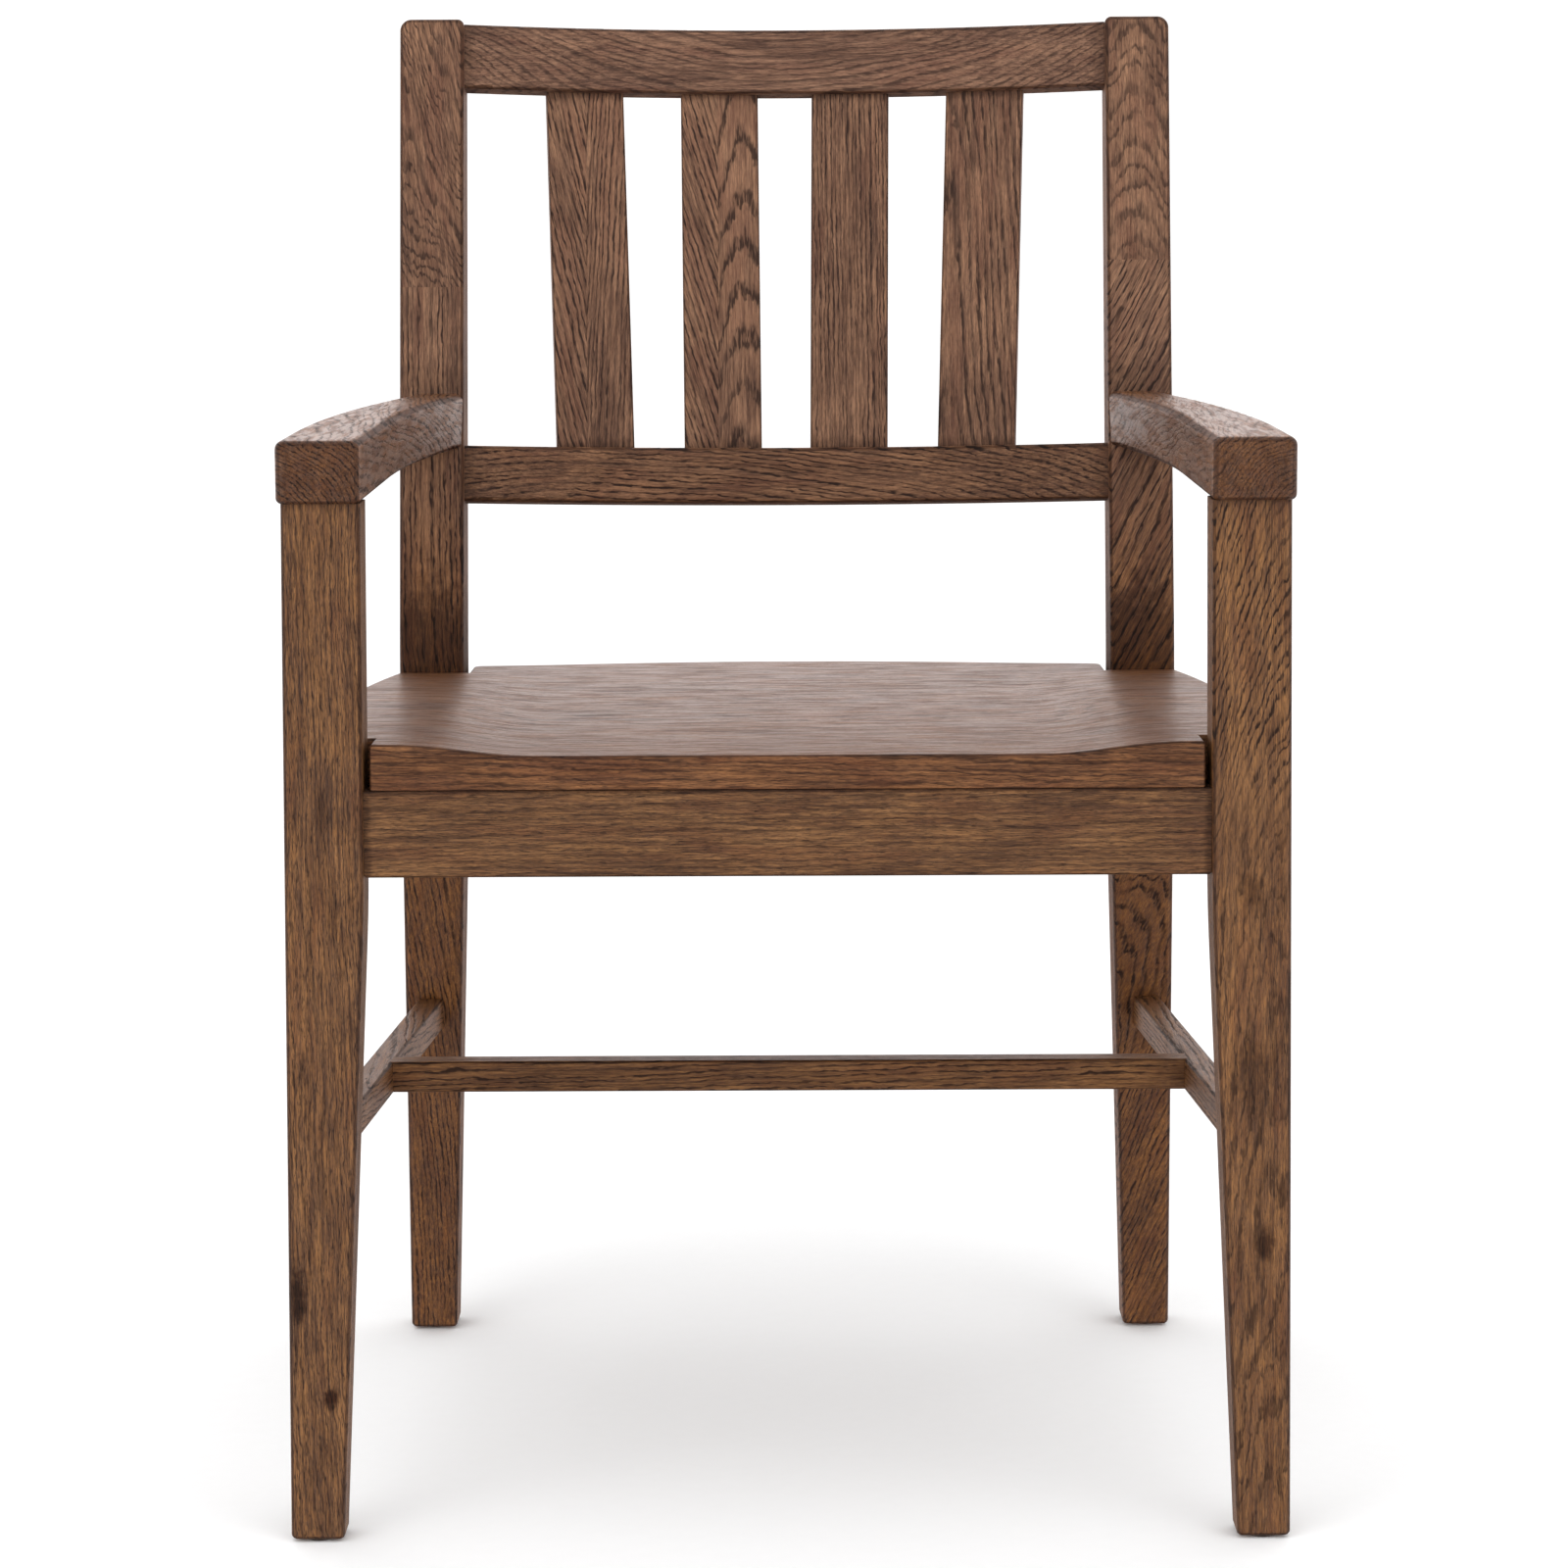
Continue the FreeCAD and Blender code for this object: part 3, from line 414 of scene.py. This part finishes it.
# The marks at seat_line and arm_line are painted shade where the seat and the arms meet the posts.
post = {"tint": BACK_TINT_WITH_PAINTED_SHEEN, "low_tint": POSTS_LOW_TINT_WITH_PAINTED_SHADE,
        "marks": ((seat_line, 0, 75, 90, 0.68), (arm_line, 0, 22, 60, 0.25))}
oak("rear_post_left", "leaning", fig((110, -50), 0.01, waver=2.0, ring=3.2, line=1.0),
    fig((-8, -16), 0.16, waver=7, ring=2.1, line=0.85, turn=6, slide=(120, 0, 0)),
    ("X", 270, GLUE_LINE), **post)
oak("rear_post_right", "leaning",
    fig((-60, -40), 0.02, waver=8, ring=3.8, line=1.0, turn=-26, slide=(60, 0, 0)),
    fig((3, -10), 0.17, waver=3.5, ring=2.8, line=0.75), ("X", 287, GLUE_LINE), **post)

arm = {"shade_and_stain_strips": (("Y", ARM_FRONT + 0.5 * MM, ARM_FRONT + 4 * MM, 0.35),),
       "tint": ARMS, "coat": 1.0, "patchy": 0.6}
oak("arm_left", "back", fig((45, -42), 0.05, waver=5, ring=2.8, line=1.0, slide=(40, 0, 0)), **arm)
oak("arm_right", "back", fig((-48, -40), 0.06, waver=6, ring=2.6, line=0.8, slide=(510, 0, 0)), **arm)
oak("seat", "seat",
    fig((-40, -190), 0.02, waver=4, ring=2.8, line=0.75, pores=1.3, ripple=0.5),
    tint=SEAT, coat=1.0, side_coat=0.3, patchy=0.55)

# Painted shade on the rails' ends, beside the posts.
rail_end_shade = (("X", RAIL_LOW[0] + 22 * MM, RAIL_LOW[0] + 36 * MM, 0.4),
              ("X", RAIL_HIGH[0] - 22 * MM, RAIL_HIGH[0] - 36 * MM, 0.4))
oak("crest_rail", "across", fig((60, -14), 0.0, bow=0.0013, waver=10, ring=5.2, line=0.75),
    fig((0, -20), 0.3, waver=5, ring=2.6, line=0.6, turn=20),
    ("X", 233, GLUE_LINE), rail_end_shade, tint=CREST_TINT_WITH_PAINTED_SHEEN)
oak("lower_back_rail", "across",
    fig((-60, -30), 0.10, waver=4, ring=3.0, line=1.0, slide=(230, 0, 0)),
    shade_and_stain_strips=rail_end_shade, tint=LOW_RAIL)
# The slats' strips are painted shade under the crest rail and just above the lower rail.
slat = {"grain": "leaning", "tint": BACK_TINT_WITH_PAINTED_SHEEN,
        "shade_and_stain_strips": (("Z", RAIL_LOW[2] + 3 * MM, RAIL_LOW[2] - 4 * MM, 0.55),
                  ("Z", LOW_RAIL_TOP - 4 * MM, LOW_RAIL_TOP + 6 * MM, 0.5))}
glued = {"seam": ("Y", 2, GLUE_LINE), **slat}
oak("back_slat_1", figure=fig((-60, -30), 0.0, waver=2.5, ring=3.0, line=0.95, turn=-3),
    other=fig((70, -20), 0.0, waver=3, ring=3.4, line=1.0, turn=13), **glued)
oak("back_slat_2", figure=fig((-15, -30), 0.12, waver=3, ring=4.2, line=0.9, pores=0.6, slide=(60, 0, 0)),
    other=fig((80, -20), 0.0, waver=3, ring=3.6, line=1.0, turn=17), **glued)
oak("back_slat_3", figure=fig((110, -40), 0.005, waver=1.5, ring=2.8, line=0.95, slide=(400, 0, 0)), **slat)
oak("back_slat_4", figure=fig((22, -14), 0.05, waver=5, ring=4.6, line=0.9, slide=(800, 0, 0)), **slat)

# Painted shade along the apron's top under the seat and at its ends beside the legs.
apron_join_shade = (("Z", APRON_TOP, APRON_TOP - 3 * MM, 0.8), ("X", LEG_EDGE, LEG_EDGE + 4 * MM, 0.6),
               ("X", -LEG_EDGE, -LEG_EDGE - 4 * MM, 0.6))
oak("front_apron", "across",
    fig((80, -60), 0.01, waver=3, ring=2.4, line=0.55, pores=1.4, slide=(0, 30, 0)),
    shade_and_stain_strips=apron_join_shade, tint=APRONS)
oak("rear_apron", "across", fig((-30, -60), 0.03, waver=5, slide=(333, 30, 0)), tint=APRONS)
for side, sign in (("left", -1), ("right", 1)):
    oak("side_apron_" + side, "back_side",
        fig((30 * sign, -60), 0.03, slide=(200 * sign, 0, 10)), tint=APRONS)
    oak("side_stretcher_" + side, "back_side",
        fig((60 * sign, -40), 0.03, slide=(90 * sign, 7, 0)), tint=LEGS)
oak("cross_stretcher", "across", fig((40, -40), 0.02, waver=3, ring=2.6, slide=(77, 0, 0)), tint=LEGS)


# ---- hidden and small pieces ---------------------------------------------------------------------
MOTTLE_SCALE, MOTTLE_GRAIN, MOTTLE_DARK = 900, 700, 0.72
MOTTLE_BUMP_STRENGTH, MOTTLE_BUMP_DEPTH = 0.25, 0.1 * MM


def simple(name, names, colour, roughness, metallic=0.0, grain=0.0):
    """Plain material with fine mottling in colour, roughness and bump."""
    material = bpy.data.materials.new(name)
    material.use_nodes = True
    t = Tree(material.node_tree)
    surface = material.node_tree.nodes["Principled BSDF"]
    place = t.node("ShaderNodeTexCoord").outputs["Object"]
    upright = MOTTLE_SCALE - MOTTLE_GRAIN * grain
    mottle = t.noise(t.vector("MULTIPLY", place, (MOTTLE_SCALE, MOTTLE_SCALE, upright)), 1.0, 3.0)["Fac"]
    dark = tuple(c * MOTTLE_DARK for c in colour[:3]) + (1.0,)
    t.put(surface.inputs["Base Color"], t.mix(mottle, colour, dark))
    t.put(surface.inputs["Roughness"], t.ramp(mottle, 0.3, 0.7, roughness - 0.06, roughness + 0.06))
    surface.inputs["Metallic"].default_value = metallic
    bumped = t.node("ShaderNodeBump", {
        "Height": mottle, "Strength": MOTTLE_BUMP_STRENGTH, "Distance": MOTTLE_BUMP_DEPTH})
    t.put(surface.inputs["Normal"], bumped.outputs[0])
    for node in names:
        dress(nodes[node], material)


corners = [(end, side) for end in ("front", "rear") for side in ("left", "right")]
blocks = [f"{end}_corner_block_{side}" for end, side in corners]
glides = [f"{end}_foot_glide_{side}" for end, side in corners]
simple("raw_wood", blocks + ["arm_dowels"], rgb(176, 138, 96), 0.7, grain=1.0)
simple("screw_zinc", ["corner_block_screws", "seat_screws"], rgb(196, 190, 176), 0.35, metallic=1.0)
simple("glide_nylon", glides, rgb(52, 40, 32), 0.55)

for node in nodes.values():
    for polygon in node.data.polygons:
        polygon.use_smooth = True


# ---- studio --------------------------------------------------------------------------------------
FLOOR_SIZE = 60
FLOOR_COLOURS = (0.95, 0.955, 0.96, 1), (0.98, 0.985, 0.99, 1)
WHITE, REFLECTED_TINT = (1, 1, 1, 1), (1.0, 0.91, 0.89, 1)
LENS, SENSOR, SHIFT_Y = 91.42, 36, -0.08
DISTANCE = 2.3045  # from the front legs' faces
EYE_X, EYE_Z = 0.0006, 0.803
PITCH, YAW, ROLL = 0.1172, 0.001, -0.0045


def floor():
    bpy.ops.mesh.primitive_plane_add(size=FLOOR_SIZE, location=(0, 0, cad_low.z))
    plane = bpy.context.object
    plane.name = "floor"
    material = bpy.data.materials.new("floor_paint")
    material.use_nodes = True
    t = Tree(material.node_tree)
    surface = material.node_tree.nodes["Principled BSDF"]
    place = t.node("ShaderNodeTexCoord").outputs["Object"]
    speck = t.noise(place, 90.0, 3.0)["Fac"]
    t.put(surface.inputs["Base Color"], t.mix(speck, *FLOOR_COLOURS))
    t.put(surface.inputs["Roughness"], t.ramp(speck, 0.3, 0.7, 0.75, 0.85))
    surface.inputs["Specular IOR Level"].default_value = 0.2
    plane.data.materials.append(material)
    plane.visible_glossy = False


def area_light(name, location, target, size, energy):
    data = bpy.data.lights.new(name, "AREA")
    data.shape = "RECTANGLE"
    data.size, data.size_y = size
    data.energy = energy
    light = bpy.data.objects.new(name, data)
    light.location = location
    light.visible_glossy = False
    light.rotation_euler = (Vector(target) - Vector(location)).to_track_quat("-Z", "Y").to_euler()
    bpy.context.scene.collection.objects.link(light)


def world():
    """Even white light. What the lacquer reflects is warmer, and dim in front and straight below."""
    made = bpy.data.worlds.new("studio")
    made.use_nodes = True
    bpy.context.scene.world = made
    t = Tree(made.node_tree)
    background = made.node_tree.nodes["Background"]
    direction = t.split(t.node("ShaderNodeTexCoord").outputs["Generated"])
    ahead = t.ramp(direction["Y"], -0.3, 0.3, 0.3, 1.6)
    beside = t.math("ABSOLUTE", direction["X"])
    below = t.ramp(beside, 0.15, 0.5, 0.03, 1.5)
    above = t.ramp(direction["Z"], 0.0, 0.13)
    upper = t.math("MULTIPLY", ahead, above)
    reflected = t.math("ADD", upper, t.math("MULTIPLY", below, t.math("SUBTRACT", 1.0, above)))
    sideways = t.ramp(beside, 0.45, 0.95, 1.0, 0.6)
    diffuse = t.math("MULTIPLY", sideways, t.ramp(direction["Y"], -0.5, 0.6, 1.45, 1.15))
    path = t.node("ShaderNodeLightPath").outputs
    glossy = path["Is Glossy Ray"]
    level = t.math("ADD", t.math("MULTIPLY", glossy, t.math("SUBTRACT", reflected, diffuse)), diffuse)
    t.put(background.inputs["Strength"], t.math("MAXIMUM", level, path["Is Camera Ray"]))
    t.put(background.inputs["Color"], t.mix(glossy, WHITE, REFLECTED_TINT))


def camera():
    data = bpy.data.cameras.new("camera")
    data.sensor_width = SENSOR
    data.lens = LENS
    data.shift_y = SHIFT_Y
    data.clip_end = 100
    made = bpy.data.objects.new("camera", data)
    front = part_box("front_leg_left")[0][1]
    made.location = (EYE_X, front - DISTANCE, EYE_Z)
    aim = Matrix.Rotation(YAW, 3, "Z") @ Matrix.Rotation(math.pi / 2 - PITCH, 3, "X")
    made.rotation_euler = (aim @ Matrix.Rotation(ROLL, 3, "Z")).to_euler()
    bpy.context.scene.collection.objects.link(made)
    bpy.context.scene.camera = made


floor()
world()
camera()
area_light("top", (0, -0.2, 2.6), (0, 0, 0.4), (2.4, 2.0), 6)
area_light("key", (-2.0, -2.4, 2.0), (0, 0, 0.5), (1.6, 1.6), 10)
area_light("fill", (2.2, -2.2, 1.6), (0, 0, 0.5), (1.6, 1.6), 7)
bpy.context.scene.view_settings.view_transform = "Standard"
